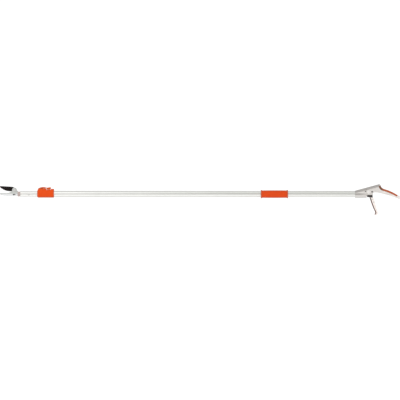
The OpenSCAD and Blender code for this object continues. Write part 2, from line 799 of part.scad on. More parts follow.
// Hooked plate on the near side; the drive pin runs in its slot
module counter_blade() {
    slot_r = pull_pin_r + loose_gap;
    boss_proud = 1.2;
    color(bright_steel) difference() {
        union() {
            along_y(counter_near_y, counter_far_y) {
                translate([blade_pivot_x, blade_pivot_z]) circle(r = head_boss_r);
                polygon(concat(
                    [[-1273.6, 3], [-1272.2, 4.8], [-1268.5, 5.6], [-1230, 5.4]],
                    curve([-1226, 5.6], [-1214, 7.4], [-1205.6, 15.6], 6),
                    [[blade_pivot_x - 7.4, blade_pivot_z + 7.4], [blade_pivot_x, blade_pivot_z],
                        [blade_pivot_x + 10.6, blade_pivot_z - 2.4], [-1182.4, neck_top_z],
                        [inner_front_x - 0.5, neck_top_z], [inner_front_x - 0.5, neck_bottom_z]],
                    curve([-1230, neck_bottom_z], [-1250, -7.8], [-1268, -0.4], 8)
                ));
            }
            rod_y(blade_pivot_x, blade_pivot_z, head_boss_r - 2.5,
                counter_near_y - boss_proud, counter_near_y);
        }
        rod_y(blade_pivot_x, blade_pivot_z, blade_bolt_r, -through, through);
        along_y(-through, through)
            slot_between([drive_pin_x, pull_z], [drive_pin_x + pull_travel, pull_z], slot_r);
        for (x = frame_rivet_x) rod_y(x, frame_rivet_z, frame_rivet_r, -through, through);
    }
}

module head_rivets() {
    rivet_head_r = 2.6;
    color(bright_steel) {
        for (x = frame_rivet_x) {
            rod_y(x, frame_rivet_z, frame_rivet_r, counter_near_y, cheek_far_y);
            head_y(x, frame_rivet_z, rivet_head_r, counter_near_y, counter_near_y - 0.7);
            head_y(x, frame_rivet_z, rivet_head_r, cheek_far_y, cheek_far_y + 0.7);
        }
        rod_y(neck_rivet_x, groove_z, neck_rivet_r, -4.6, -0.4);
        head_y(neck_rivet_x, groove_z, 2.8, -4.6, -5.6);
        rod_y(neck_far_rivet_x, neck_far_rivet_z, neck_rivet_r, 3.2, 7.6);
        head_y(neck_far_rivet_x, neck_far_rivet_z, 3.2, 7.6, 8.6);
    }
}

module blade_pivot_bolt() {
    head_r = 7;
    seat_y = counter_near_y - 1.2;
    color(bright_steel) difference() {
        union() {
            rod_y(blade_pivot_x, blade_pivot_z, blade_bolt_r, seat_y, 12.4);
            head_y(blade_pivot_x, blade_pivot_z, head_r, seat_y, seat_y - 2.6);
        }
        translate([blade_pivot_x, seat_y - 1, blade_pivot_z]) rotate([90, 0, 0])
            cylinder(r = 2.4, h = 4, $fn = 6);
    }
}

module blade_pivot_nut() {
    color(bright_steel) difference() {
        translate([blade_pivot_x, cheek_far_y + seat_gap, blade_pivot_z]) rotate([-90, 0, 0])
            cylinder(r = 7.3, h = 4, $fn = 6);
        rod_y(blade_pivot_x, blade_pivot_z, blade_bolt_r, 0, through);
    }
}

module blade_washer() {
    color(bright_steel) difference() {
        rod_y(blade_pivot_x, blade_pivot_z, 8, blade_far_y + 0.15, cheek_near_y - seat_gap);
        rod_y(blade_pivot_x, blade_pivot_z, blade_bolt_r, 0, through);
    }
}

// Blade with a curved belly, a straight spine and a tang whose radial slot takes the drive pin
module cutting_blade() {
    dx = drive_pin_x - blade_pivot_x;
    dz = pull_z - blade_pivot_z;
    run = norm([dx, dz]);
    slot_from = [blade_pivot_x + dx / run * 21.2, blade_pivot_z + dz / run * 21.2];
    slot_to = [blade_pivot_x + dx / run * 22, blade_pivot_z + dz / run * 22];
    color(black_steel) difference() {
        along_y(blade_near_y, blade_far_y) {
            translate([blade_pivot_x, blade_pivot_z]) circle(r = 10.5);
            polygon([
                [blade_pivot_x - 9.8, blade_pivot_z - 3], [drive_pin_x - 5.8, pull_z + 5],
                [drive_pin_x - 5.6, pull_z], [drive_pin_x - 3.8, pull_z - 4.4],
                [drive_pin_x, pull_z - 5.6], [drive_pin_x + 3.8, pull_z - 4.4],
                [drive_pin_x + 5.6, pull_z + 0.8], [blade_pivot_x + 7.4, blade_pivot_z - 6]
            ]);
            polygon(concat(
                [[blade_pivot_x + 1, blade_pivot_z + 10.2], [-1199, 31.5], [-1204, 33.6], [-1212, 34.3],
                    [-1258, 36.9], [-1263.5, 36.8], [-1265.6, 36]],
                curve([-1265.4, 35], [-1243, 11.5], [-1208, 13.2], 12),
                [[blade_pivot_x - 7.2, blade_pivot_z - 7.2]]
            ));
        }
        rod_y(blade_pivot_x, blade_pivot_z, blade_bolt_r + 1, -through, through);
        along_y(-through, through) slot_between(slot_from, slot_to, pull_pin_r + loose_gap);
    }
}

module blade_bush() {
    color(brass) difference() {
        rod_y(blade_pivot_x, blade_pivot_z, blade_bolt_r + 1, blade_near_y, blade_far_y);
        rod_y(blade_pivot_x, blade_pivot_z, blade_bolt_r + run_gap, -through, through);
    }
}

outer_pole();
lock_housing_near();
lock_housing_far();
lock_screws();
lock_hinge_pin();
lock_liner();
front_grip();
handle_casting();
handle_pad();
handle_rivets();
handle_set_screw();
rear_guide_plug();
trigger_pivot_bolt();
trigger_pivot_nut();
trigger_washers();
return_spring();
spring_anchor_pin();
trigger_lever();
trigger_pad();
trigger_yoke();
trigger_rivets();
trigger_bush();
rear_pull_bar();
rear_bar_pin();
inner_pole();
inner_pole_bush();
neck_collar();
head_frame();
counter_blade();
head_rivets();
blade_pivot_bolt();
blade_pivot_nut();
blade_washer();
front_pull_bar();
rod_clutch();
clutch_rivets();
draw_link();
link_rivet();
drive_pin();
cutting_blade();
blade_bush();
lock_lever();
brake_shoe();
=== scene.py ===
"""Looks for the telescoping pole pruner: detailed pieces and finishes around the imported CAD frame.

Lengths below are in millimetres in the CAD frame unless a name says otherwise: X along the pole with the
jaws at -X, Z up, and the near side at -Y.
"""
import math

import bmesh
import bpy
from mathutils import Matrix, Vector

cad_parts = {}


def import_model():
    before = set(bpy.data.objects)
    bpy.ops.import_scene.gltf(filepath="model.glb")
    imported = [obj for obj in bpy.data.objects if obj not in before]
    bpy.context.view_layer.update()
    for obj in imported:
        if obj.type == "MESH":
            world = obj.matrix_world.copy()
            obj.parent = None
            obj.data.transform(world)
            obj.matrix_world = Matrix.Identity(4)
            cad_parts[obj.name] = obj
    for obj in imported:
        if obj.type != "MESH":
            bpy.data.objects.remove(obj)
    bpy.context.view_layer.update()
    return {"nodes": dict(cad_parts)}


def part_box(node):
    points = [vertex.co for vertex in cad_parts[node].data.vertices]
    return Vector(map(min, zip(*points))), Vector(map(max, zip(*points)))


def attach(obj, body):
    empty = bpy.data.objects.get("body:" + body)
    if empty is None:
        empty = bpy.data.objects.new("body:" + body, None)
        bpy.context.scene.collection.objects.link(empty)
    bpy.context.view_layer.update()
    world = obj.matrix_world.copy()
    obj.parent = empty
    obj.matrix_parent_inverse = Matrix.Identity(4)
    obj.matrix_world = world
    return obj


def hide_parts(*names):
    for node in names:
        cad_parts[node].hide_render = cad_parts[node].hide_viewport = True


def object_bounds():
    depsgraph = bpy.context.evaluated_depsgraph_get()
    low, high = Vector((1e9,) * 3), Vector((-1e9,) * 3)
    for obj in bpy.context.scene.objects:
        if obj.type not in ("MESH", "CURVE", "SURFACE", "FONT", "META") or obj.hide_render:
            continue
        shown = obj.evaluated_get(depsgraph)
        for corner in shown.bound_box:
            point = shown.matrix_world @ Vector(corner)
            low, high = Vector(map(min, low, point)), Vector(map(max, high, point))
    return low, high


MM = 0.001
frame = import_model()
NODES = frame["nodes"]
scene = bpy.context.scene


# ---------------------------------------------------------------- small helpers

def srgb(text):
    """Linear colour of a hex colour."""
    values = [int(text[i:i + 2], 16) / 255 for i in (0, 2, 4)]
    return tuple(v / 12.92 if v <= 0.04045 else ((v + 0.055) / 1.055) ** 2.4 for v in values) + (1.0,)


def bezier(p, c, q, steps):
    """Points of a quadratic curve from p to q with one control point c."""
    out = []
    for i in range(steps + 1):
        t = i / steps
        out.append(tuple((1 - t) ** 2 * a + 2 * t * (1 - t) * b + t * t * d for a, b, d in zip(p, c, q)))
    return out


def arc(cx, cz, r, start, end, steps):
    """Points on a circle from the start angle to the end angle, in degrees."""
    out = []
    for i in range(steps + 1):
        a = math.radians(start + (end - start) * i / steps)
        out.append((cx + r * math.cos(a), cz + r * math.sin(a)))
    return out


def ring_angles(count):
    """Angles of count points round a full turn."""
    return [2 * math.pi * j / count for j in range(count)]


def resample(points, count):
    """The same line with count + 1 points at equal steps along it."""
    lengths = [0.0]
    for a, b in zip(points, points[1:]):
        lengths.append(lengths[-1] + math.dist(a, b))
    out = []
    j = 0
    for i in range(count + 1):
        want = lengths[-1] * i / count
        while j < len(points) - 2 and lengths[j + 1] < want:
            j += 1
        span = lengths[j + 1] - lengths[j] or 1.0
        t = (want - lengths[j]) / span
        out.append(tuple(a + (b - a) * t for a, b in zip(points[j], points[j + 1])))
    return out


def mesh_object(name, verts, faces, material=None):
    """A mesh object from vertices in millimetres, with outward normals and smooth faces."""
    mesh = bpy.data.meshes.new(name)
    mesh.from_pydata([tuple(c * MM for c in v) for v in verts], [], faces)
    bm = bmesh.new()
    bm.from_mesh(mesh)
    bmesh.ops.remove_doubles(bm, verts=bm.verts, dist=1e-7)
    bmesh.ops.recalc_face_normals(bm, faces=bm.faces)
    bm.to_mesh(mesh)
    bm.free()
    mesh.shade_smooth()
    obj = bpy.data.objects.new(name, mesh)
    scene.collection.objects.link(obj)
    if material:
        mesh.materials.append(material)
    return obj


def rings_to_faces(rings, size, closed_ends=True, loop=False):
    """Quads between rings of equal size laid one after another, with the two ends closed by one face each."""
    faces = []
    last = rings if loop else rings - 1
    for i in range(last):
        for j in range(size):
            a, b = i * size + j, i * size + (j + 1) % size
            c, d = ((i + 1) % rings) * size + (j + 1) % size, ((i + 1) % rings) * size + j
            faces.append((a, b, c, d))
    if closed_ends and not loop:
        faces.append(tuple(range(size)))
        faces.append(tuple((rings - 1) * size + j for j in range(size)))
    return faces


def join_facets(obj):
    """Joins the facets of a CAD solid into one surface."""
    weld = obj.modifiers.new("joined_facets", "WELD")
    weld.merge_threshold = 1e-6


def smooth(mesh):
    """Smooth shading, with no stored normals."""
    if "custom_normal" in mesh.attributes:
        mesh.attributes.remove(mesh.attributes["custom_normal"])
    mesh.shade_smooth()


def round_edges(obj, width, segments, angle=40):
    """Rounds the edges sharper than the angle, and keeps flat faces flat."""
    bevel = obj.modifiers.new("rounded_edges", "BEVEL")
    bevel.width = width * MM
    bevel.segments = segments
    bevel.limit_method = "ANGLE"
    bevel.angle_limit = math.radians(angle)
    bevel.harden_normals = True
    bevel.miter_outer = "MITER_ARC"


def dress_node(node, material, width, segments):
    """Keeps a CAD node's shape: joins its facets, rounds its edges and gives it a finish."""
    obj = NODES[node]
    mesh = obj.data
    smooth(mesh)
    join_facets(obj)
    flat = obj.modifiers.new("flat_faces", "DECIMATE")
    flat.decimate_type = "DISSOLVE"
    flat.angle_limit = math.radians(0.4)
    if width:
        round_edges(obj, width, segments)
    mesh.materials.clear()
    mesh.materials.append(material)


# ---------------------------------------------------------------- materials

NOISE_ROUGHNESS = 0.55
# how far in from an edge the wear reaches
WEAR_REACH = 1.0


class Finish:
    """A principled material with helpers that add procedural colour, roughness and relief."""

    def __init__(self, name, colour, rough, metallic=0.0, coat=0.0, sheen=0.0, specular=0.5):
        self.mat = bpy.data.materials.new(name)
        self.mat.use_nodes = True
        self.tree = self.mat.node_tree
        self.bsdf = self.tree.nodes["Principled BSDF"]
        self.bsdf.inputs["Base Color"].default_value = colour
        self.bsdf.inputs["Roughness"].default_value = rough
        self.bsdf.inputs["Metallic"].default_value = metallic
        self.bsdf.inputs["Coat Weight"].default_value = coat
        self.bsdf.inputs["Coat Roughness"].default_value = 0.2
        self.bsdf.inputs["Sheen Weight"].default_value = sheen
        self.bsdf.inputs["Specular IOR Level"].default_value = specular
        self.colour = colour
        self.coord = self.add("ShaderNodeTexCoord")
        self.colour_out = None
        self.height_out = None

    def add(self, kind, **settings):
        """A new node with its settings."""
        node = self.tree.nodes.new(kind)
        for key, value in settings.items():
            setattr(node, key, value)
        return node

    def link(self, a, b):
        """Joins an output to an input."""
        self.tree.links.new(a, b)

    def texture(self, kind, stretch):
        """A texture node in the piece's own space, stretched along each axis."""
        mapping = self.add("ShaderNodeMapping")
        mapping.inputs["Scale"].default_value = stretch
        self.link(self.coord.outputs["Object"], mapping.inputs["Vector"])
        node = self.add(kind)
        self.link(mapping.outputs["Vector"], node.inputs["Vector"])
        return node

    def noise(self, scale, stretch=(1, 1, 1), detail=4.0, distortion=0.0):
        """Noise in the piece's own space; scale is per metre, stretch multiplies it along each axis."""
        node = self.texture("ShaderNodeTexNoise", stretch)
        node.inputs["Scale"].default_value = scale
        node.inputs["Detail"].default_value = detail
        node.inputs["Roughness"].default_value = NOISE_ROUGHNESS
        node.inputs["Distortion"].default_value = distortion
        return node.outputs["Fac"]

    def cells(self, scale):
        """Distance to the nearest of many scattered points, for stipple and pits."""
        node = self.texture("ShaderNodeTexVoronoi", (1, 1, 1))
        node.inputs["Scale"].default_value = scale
        return node.outputs["Distance"]

    def ramp(self, source, low, high, out_low=0.0, out_high=1.0):
        """Maps low to high in the source onto out_low to out_high, and stops there."""
        node = self.add("ShaderNodeMapRange")
        node.inputs["From Min"].default_value = low
        node.inputs["From Max"].default_value = high
        node.inputs["To Min"].default_value = out_low
        node.inputs["To Max"].default_value = out_high
        self.link(source, node.inputs["Value"])
        return node.outputs["Result"]

    def along_axis(self, direction):
        """Distance in millimetres of a point of the CAD frame along a direction."""
        dot = self.add("ShaderNodeVectorMath", operation="DOT_PRODUCT")
        dot.inputs[1].default_value = tuple(c / MM for c in direction)
        self.link(self.coord.outputs["Object"], dot.inputs[0])
        return dot.outputs["Value"]

    def combine(self, operation, a, b):
        """Two masks joined by a math operation, kept between 0 and 1."""
        node = self.add("ShaderNodeMath", operation=operation, use_clamp=True)
        self.link(a, node.inputs[0])
        self.link(b, node.inputs[1])
        return node.outputs[0]

    def tint(self, mask, colour):
        """Mixes a colour over what is there by a mask."""
        mix = self.add("ShaderNodeMix", data_type="RGBA")
        self.link(mask, mix.inputs["Factor"])
        under, over, result = mix.inputs[6], mix.inputs[7], mix.outputs[2]
        if self.colour_out is None:
            under.default_value = self.colour
        else:
            self.link(self.colour_out, under)
        over.default_value = colour
        self.colour_out = result
        self.link(self.colour_out, self.bsdf.inputs["Base Color"])
        return self

    def roughness(self, source, low, high, spread=(0.3, 0.7)):
        """Roughness from low to high where the source runs over its spread."""
        self.link(self.ramp(source, spread[0], spread[1], low, high), self.bsdf.inputs["Roughness"])
        return self

    def relief(self, source, depth_mm, strength=1.0):
        """Adds a height to the surface; several are added one over another."""
        bump = self.add("ShaderNodeBump")
        bump.inputs["Strength"].default_value = strength
        bump.inputs["Distance"].default_value = depth_mm * MM
        self.link(source, bump.inputs["Height"])
        if self.height_out is not None:
            self.link(self.height_out, bump.inputs["Normal"])
        self.height_out = bump.outputs["Normal"]
        self.link(self.height_out, self.bsdf.inputs["Normal"])
        return self

    def edge_wear(self, colour, amount):
        """A barer colour on the outer edges, found by rays sent inwards, and broken up by noise."""
        inside = self.add("ShaderNodeAmbientOcclusion", inside=True, only_local=True, samples=6)
        inside.inputs["Distance"].default_value = WEAR_REACH * MM
        edge = self.ramp(inside.outputs["AO"], 0.85, 0.45, 0.0, amount)
        broken = self.ramp(self.noise(380, detail=6.0), 0.38, 0.62)
        return self.tint(self.combine("MULTIPLY", edge, broken), colour)


def drawn_aluminium(name):
    """Extruded and clear anodised: fine lines along the pole, faint cloudiness, a few handling marks."""
    f = Finish(name, srgb("e6e6e2"), 0.3, metallic=1.0)
    lines = f.noise(900, stretch=(0.004, 1, 1), detail=5.0)
    clouds = f.noise(9, stretch=(0.5, 1, 1), detail=3.0)
    marks = f.noise(160, stretch=(0.12, 1, 1), detail=8.0, distortion=0.6)
    f.tint(f.ramp(clouds, 0.35, 0.7, 0.0, 0.35), srgb("d9d9d5"))
    f.tint(f.ramp(lines, 0.45, 0.75, 0.0, 0.3), srgb("f4f4f4"))
    f.tint(f.ramp(marks, 0.66, 0.74, 0.0, 0.35), srgb("c7c7c4"))
    f.roughness(lines, 0.24, 0.38)
    return f.relief(lines, 0.02, 0.6).relief(marks, 0.01, 0.4)


def outer_pole_aluminium_and_shade():
    """The outer pole's aluminium, with painted shade: greyer on the flank of its upper lobe towards the grip,
    where a darker reflection falls.
    """
    f = drawn_aluminium("outer_pole_shaded_aluminium")
    along, height = f.along_axis((1, 0, 0)), f.along_axis((0, 0, 1))
    flank = f.combine("MULTIPLY", f.ramp(height, -3, 0.5), f.ramp(height, 11, 8))
    # painted shade: the flank greyer towards the grip, fading out towards the jaws
    f.tint(f.combine("MULTIPLY", flank, f.ramp(along, -950, -250)), srgb("cacbc6"))
    return f.mat


def cast_silver(name, colour, cloud_colour, metallic):
    """Silver-painted die casting: satin, faint orange peel, edges rubbed brighter."""
    f = Finish(name, srgb(colour), 0.45, metallic=metallic, coat=0.1)
    peel = f.noise(700, detail=3.0)
    speck = f.cells(2600)
    f.tint(f.ramp(f.noise(35, detail=2.0), 0.35, 0.7, 0.0, 0.3), srgb(cloud_colour))
    f.tint(f.ramp(speck, 0.05, 0.16, 0.12, 0.0), srgb("f2f0ee"))
    f.roughness(peel, 0.36, 0.52)
    f.relief(peel, 0.05, 0.5)
    return f


def handle_paint_and_shade():
    """Silver paint of the handle, creamy at the tail and greyer in front of the palm rest, with painted shade
    on its ridge, its banded sleeve and the sleeve's foot.
    """
    f = cast_silver("handle_shaded_silver", "eae4df", "ddd6d0", 0.3)
    along, height = f.along_axis((1, 0, 0)), f.along_axis((0, 0, 1))
    # everything in front of the palm rest
    f.tint(f.ramp(along, 505, 480), srgb("d9d4cf"))
    # painted shade on the sleeve round the pole, below its lit top
    f.tint(f.combine("MULTIPLY", f.ramp(along, 418, 410), f.ramp(height, 9, 5)), srgb("dad6d2"))
    # painted shade on the sloping ridge along the top
    below_ridge = f.along_axis((0.2593, 0, -0.9653))
    f.tint(f.combine("MULTIPLY", f.ramp(below_ridge, 94.2, 90.4), f.ramp(along, 488, 482)), srgb("a9a5a1"))
    # painted shade in the band along the middle of the sleeve, and on the sleeve's foot
    groove = f.combine("MULTIPLY", f.ramp(height, -6.5, -3.5), f.ramp(height, 5.5, 2.5))
    f.tint(f.combine("MULTIPLY", groove, f.ramp(along, 420, 392, 0.25, 1.0)), srgb("aba7a2"))
    foot = f.combine("MULTIPLY", f.ramp(height, -12.5, -15.5), f.ramp(along, 424, 418))
    f.tint(foot, srgb("a9a5a1"))
    return f.edge_wear(srgb("fbf8f4"), amount=0.4).mat


def lever_finish():
    """Pale warm silver paint of the squeeze lever."""
    return cast_silver("lever_silver", "f6ece6", "eadfd8", 0.2).edge_wear(srgb("fffaf5"), amount=0.5).mat


def frame_finish():
    """Silver paint of the head's frame."""
    return cast_silver("frame_silver", "cfcdca", "b8b5b1", 0.6).edge_wear(srgb("f2f2f2"), amount=0.5).mat


def plated_steel_and_shade():
    """Satin plated sheet steel with a grain along the blade, and painted shade towards its upper edge."""
    f = Finish("plated_steel_and_shade", srgb("e2e3e3"), 0.34, metallic=0.8)
    grain = f.noise(1100, stretch=(0.05, 1, 1), detail=5.0)
    cloud = f.noise(40, detail=2.0)
    f.tint(f.ramp(cloud, 0.4, 0.7, 0.0, 0.4), srgb("d4d5d5"))
    # painted shade: greyer from a few millimetres above the middle line upwards, towards the counter blade's
    # upper edge
    f.tint(f.ramp(f.along_axis((0, 0, 1)), 0.5, 3.5, 0.0, 0.7), srgb("b0b3ad"))
    f.edge_wear(srgb("f2f2f2"), amount=0.6)
    f.roughness(grain, 0.24, 0.42)
    return f.relief(grain, 0.02, 0.6).mat


def zinc(name="bright_zinc", colour="cfcecb", metallic=1.0):
    """Bright zinc-plated fasteners and bars."""
    f = Finish(name, srgb(colour), 0.28, metallic=metallic)
    grain = f.noise(1500, detail=5.0)
    cloud = f.noise(110, detail=3.0)
    f.tint(f.ramp(cloud, 0.35, 0.7, 0.0, 0.3), srgb("bdbbb7"))
    f.tint(f.ramp(grain, 0.55, 0.75, 0.0, 0.08), srgb("d8d4c4"))
    f.edge_wear(srgb("f4f4f4"), amount=0.5)
    f.roughness(grain, 0.22, 0.38)
    return f.relief(grain, 0.01, 0.5).mat


def blade_coating():
    """Black non-stick coating, a little brown, with fine scuffs from cutting."""
    f = Finish("blade_coating", srgb("120b0a"), 0.5, specular=0.12)
    scuffs = f.noise(420, stretch=(0.14, 1, 1.4), detail=8.0, distortion=0.8)
    cloud = f.noise(40, detail=2.0)
    f.tint(f.ramp(cloud, 0.35, 0.7, 0.0, 0.6), srgb("1c1311"))
    f.tint(f.ramp(scuffs, 0.68, 0.76, 0.0, 0.3), srgb("3a302c"))
    f.edge_wear(srgb("6c655f"), amount=0.5)
    f.roughness(cloud, 0.34, 0.52)
    return f.relief(f.noise(1600, detail=3.0), 0.02, 0.4).mat


def ground_edge():
    """Bare ground steel of the blade's bevel, with grinding lines across it."""
    f = Finish("ground_edge", srgb("b9bbbe"), 0.25, metallic=1.0)
    lines = f.noise(2200, stretch=(1, 1, 0.06), detail=4.0)
    cloud = f.noise(120, detail=3.0)
    f.tint(f.ramp(cloud, 0.4, 0.7, 0.0, 0.5), srgb("8e8c8a"))
    f.roughness(lines, 0.2, 0.36)
    return f.relief(lines, 0.02, 0.7).mat


def black_steel():
    """Blackened steel with rubbed edges."""
    f = Finish("black_steel", srgb("3a3736"), 0.48, metallic=0.4)
    cloud = f.noise(130, detail=5.0)
    f.tint(f.ramp(cloud, 0.4, 0.72, 0.0, 0.5), srgb("4c4745"))
    f.edge_wear(srgb("85817d"), amount=0.6)
    f.roughness(cloud, 0.36, 0.55)
    return f.relief(f.noise(1400), 0.02, 0.5).mat


def moulded_plastic(name, colour, dark, pale, rough=0.36):
    """Moulded plastic: fine spark texture, slight flow clouding, edges rubbed a little paler."""
    f = Finish(name, srgb(colour), rough, specular=0.18)
    spark = f.noise(2300, detail=2.0)
    cloud = f.noise(28, detail=3.0)
    f.tint(f.ramp(cloud, 0.35, 0.7, 0.0, 0.35), srgb(dark))
    f.edge_wear(srgb(pale), amount=0.35)
    f.roughness(cloud, rough - 0.06, rough + 0.12)
    return f.relief(spark, 0.03, 0.45).relief(f.noise(90, detail=2.0), 0.05, 0.25)


def paint_edge_shade(f, node, colour, amount, reach_x, reach_z):
    """Paints shade onto a finish towards the ends, top and bottom of a node, over reaches in millimetres:
    darker where its rounded edges turn from the light.
    """
    low, high = (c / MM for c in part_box(node))
    along, height = f.along_axis((1, 0, 0)), f.along_axis((0, 0, 1))
    for place, outer, inner in ((along, low.x, low.x + reach_x), (along, high.x, high.x - reach_x),
                                (height, low.z, low.z + reach_z), (height, high.z, high.z - reach_z)):
        f.tint(f.ramp(place, inner, outer, 0.0, amount), srgb(colour))
    return f


def housing_orange_and_shade():
    """Orange of the lock's housing, with painted shade towards its ends, top and bottom."""
    f = moulded_plastic("shaded_orange_moulding", "e64c00", "da4200", "d8683c")
    return paint_edge_shade(f, "lock_housing_near", "a85a36", 0.6, 7, 8.5).mat


def soft_grip(name, colour, dark, pale):
    """Soft over-moulded grip: close stipple, matt, rubbed darker in patches."""
    f = Finish(name, srgb(colour), 0.62, sheen=0.04, specular=0.2)
    stipple = f.cells(1500)
    f.tint(f.ramp(f.noise(22, detail=4.0), 0.35, 0.7, 0.0, 0.45), srgb(dark))
    f.tint(f.ramp(stipple, 0.1, 0.45, 0.3, 0.0), srgb(pale))
    f.edge_wear(srgb(pale), amount=0.3)
    f.roughness(stipple, 0.52, 0.7, (0.1, 0.5))
    return f.relief(stipple, 0.12, 0.5)


def front_grip_orange_and_shade():
    """Orange of the front grip, with painted shade towards its ends, top and bottom."""
    f = soft_grip("soft_grip_shaded_orange", "e04806", "d24008", "e4642c")
    return paint_edge_shade(f, "front_grip", "a4684a", 0.6, 7.5, 7).mat


def palm_finish():
    """The palm pad's orange, browner towards the horn."""
    f = soft_grip("orange_palm_pad", "b85a36", "9a4e2e", "c4754f")
    f.tint(f.ramp(f.along_axis((1, 0, 0)), 506, 492, 0.0, 0.9), srgb("70503e"))
    return f.mat


def trigger_pad_orange_and_shade():
    """The trigger pad's orange darkened to orange-brown as painted shade on its front, and greyer towards the
    pivot.
    """
    # painted shade: the pad's orange set dark all over
    f = soft_grip("trigger_pad_shaded_orange", "6a4033", "54352a", "84584a")
    f.tint(f.ramp(f.along_axis((0, 0, 1)), -40, -18, 0.0, 0.8), srgb("6e665f"))
    return f.mat


def bearing_plastic():
    """White slippery plastic of the liner and the bushes."""
    f = Finish("bearing_plastic", srgb("e9e8e2"), 0.4, specular=0.5)
    cloud = f.noise(80, detail=3.0)
    f.tint(f.ramp(cloud, 0.35, 0.7, 0.0, 0.5), srgb("d3d0c6"))
    f.roughness(cloud, 0.34, 0.5)
    return f.relief(f.noise(1200), 0.02, 0.4).mat


def black_rubber():
    """Matt black rubber."""
    f = Finish("black_rubber", srgb("1d1c1c"), 0.7, specular=0.3)
    cloud = f.noise(150, detail=4.0)
    f.tint(f.ramp(cloud, 0.35, 0.7, 0.0, 0.5), srgb("2c2a29"))
    f.roughness(cloud, 0.6, 0.8)
    return f.relief(f.noise(1500), 0.04, 0.5).mat


def turned_brass():
    """Turned brass of the two pivot bushes."""
    f = Finish("turned_brass", srgb("c9a257"), 0.3, metallic=1.0)
    lines = f.noise(900, stretch=(1, 0.05, 1), detail=4.0)
    f.tint(f.ramp(lines, 0.4, 0.7, 0.0, 0.4), srgb("a27d3c"))
    f.roughness(lines, 0.22, 0.4)
    return f.relief(lines, 0.02, 0.5).mat


ALUMINIUM = drawn_aluminium("drawn_aluminium").mat
OUTER_POLE_SHADED_ALUMINIUM = outer_pole_aluminium_and_shade()
HANDLE_SHADED_SILVER = handle_paint_and_shade()
LEVER_SILVER = lever_finish()
FRAME_SILVER = frame_finish()
PLATE = plated_steel_and_shade()
ZINC = zinc()
PALE_ZINC = zinc("pale_zinc", "f0ece8", 0.5)
COATING = blade_coating()
GROUND = ground_edge()
BLACK = black_steel()
ORANGE = housing_orange_and_shade()
LEVER_ORANGE = moulded_plastic("orange_lock_lever", "cf5620", "c04a18", "c06a48").mat
ORANGE_GRIP = front_grip_orange_and_shade()
PAD_ORANGE = palm_finish()
TRIGGER_PAD_SHADED_ORANGE = trigger_pad_orange_and_shade()
COLLAR = moulded_plastic("collar_moulded", "bcaaa5", "a8948f", "d4c6c2", rough=0.5).mat
WHITE = bearing_plastic()
RUBBER = black_rubber()
BRASS = turned_brass()


# ---------------------------------------------------------------- CAD nodes that keep their shape

# finish, width of the rounded edges, steps across them, nodes
DRESSED = (
    (ORANGE, 0.9, 3, "lock_housing_near lock_housing_far"),
    (LEVER_ORANGE, 0.8, 3, "lock_lever"),
    (ZINC, 0.2, 2, "lock_screws lock_hinge_pin handle_rivets trigger_rivets draw_link link_rivet"),
    (WHITE, 0.15, 2, "lock_liner"),
    (RUBBER, 0.3, 2, "brake_shoe"),
    (HANDLE_SHADED_SILVER, 0.9, 3, "handle_casting"),
    (BLACK, 0.15, 2, "handle_set_screw"),
    (WHITE, 0.2, 2, "rear_guide_plug"),
    (PALE_ZINC, 0.25, 2, "trigger_pivot_bolt"),
    (ZINC, 0.4, 3, "trigger_pivot_nut blade_pivot_nut"),
    (ZINC, 0.1, 2, "trigger_washers blade_washer clutch_rivets"),
    (ZINC, 0, 3, "return_spring"),
    (RUBBER, 0.4, 3, "spring_anchor_pin"),
    (LEVER_SILVER, 0.9, 3, "trigger_lever"),
    (BLACK, 0.35, 2, "trigger_yoke"),
    (BRASS, 0.15, 2, "trigger_bush"),
    (ZINC, 0.25, 2, "rear_pull_bar blade_pivot_bolt front_pull_bar"),
    (ZINC, 0.3, 2, "rear_bar_pin rod_clutch"),
    (WHITE, 0, 3, "inner_pole_bush"),
    (COLLAR, 0.8, 3, "neck_collar"),
    (FRAME_SILVER, 0.5, 3, "head_frame"),
    (PLATE, 0.35, 2, "counter_blade"),
    (ZINC, 0.15, 2, "head_rivets"),
    (BLACK, 0.3, 2, "drive_pin"),
    (BRASS, 0.1, 2, "blade_bush"),
)
for material, width, segments, nodes in DRESSED:
    for node in nodes.split():
        dress_node(node, material, width, segments)


# ---------------------------------------------------------------- the two-lobe poles

# the outer face: two round lobes, and on each side a groove circle that touches both of them
UPPER_Z, UPPER_R = 5.5, 9.5
LOWER_Z, LOWER_R = -7.5, 6.5
GROOVE_R = 4.0
UPPER_REACH, LOWER_REACH = UPPER_R + GROOVE_R, LOWER_R + GROOVE_R
LOBE_STEP = UPPER_Z - LOWER_Z
GROOVE_DROP = (LOBE_STEP ** 2 + UPPER_REACH ** 2 - LOWER_REACH ** 2) / (2 * LOBE_STEP)
GROOVE_Y, GROOVE_Z = math.sqrt(UPPER_REACH ** 2 - GROOVE_DROP ** 2), UPPER_Z - GROOVE_DROP
UPPER_TANGENT = math.degrees(math.atan2(UPPER_Z - GROOVE_Z, GROOVE_Y))
LOWER_TANGENT = math.degrees(math.atan2(GROOVE_Z - LOWER_Z, GROOVE_Y))


def pole_ring(inset):
    """The pole's section in Y and Z, moved inwards by inset, always with the same number of points."""
    top = arc(0, UPPER_Z, UPPER_R - inset, -UPPER_TANGENT, 180 + UPPER_TANGENT, 56)
    left = arc(-GROOVE_Y, GROOVE_Z, GROOVE_R + inset, UPPER_TANGENT, -LOWER_TANGENT, 12)
    bottom = arc(0, LOWER_Z, LOWER_R - inset, 180 - LOWER_TANGENT, 360 + LOWER_TANGENT, 44)
    right = arc(GROOVE_Y, GROOVE_Z, GROOVE_R + inset, 180 + LOWER_TANGENT, 180 - UPPER_TANGENT, 12)
    return top + left[1:-1] + bottom + right[1:-1]


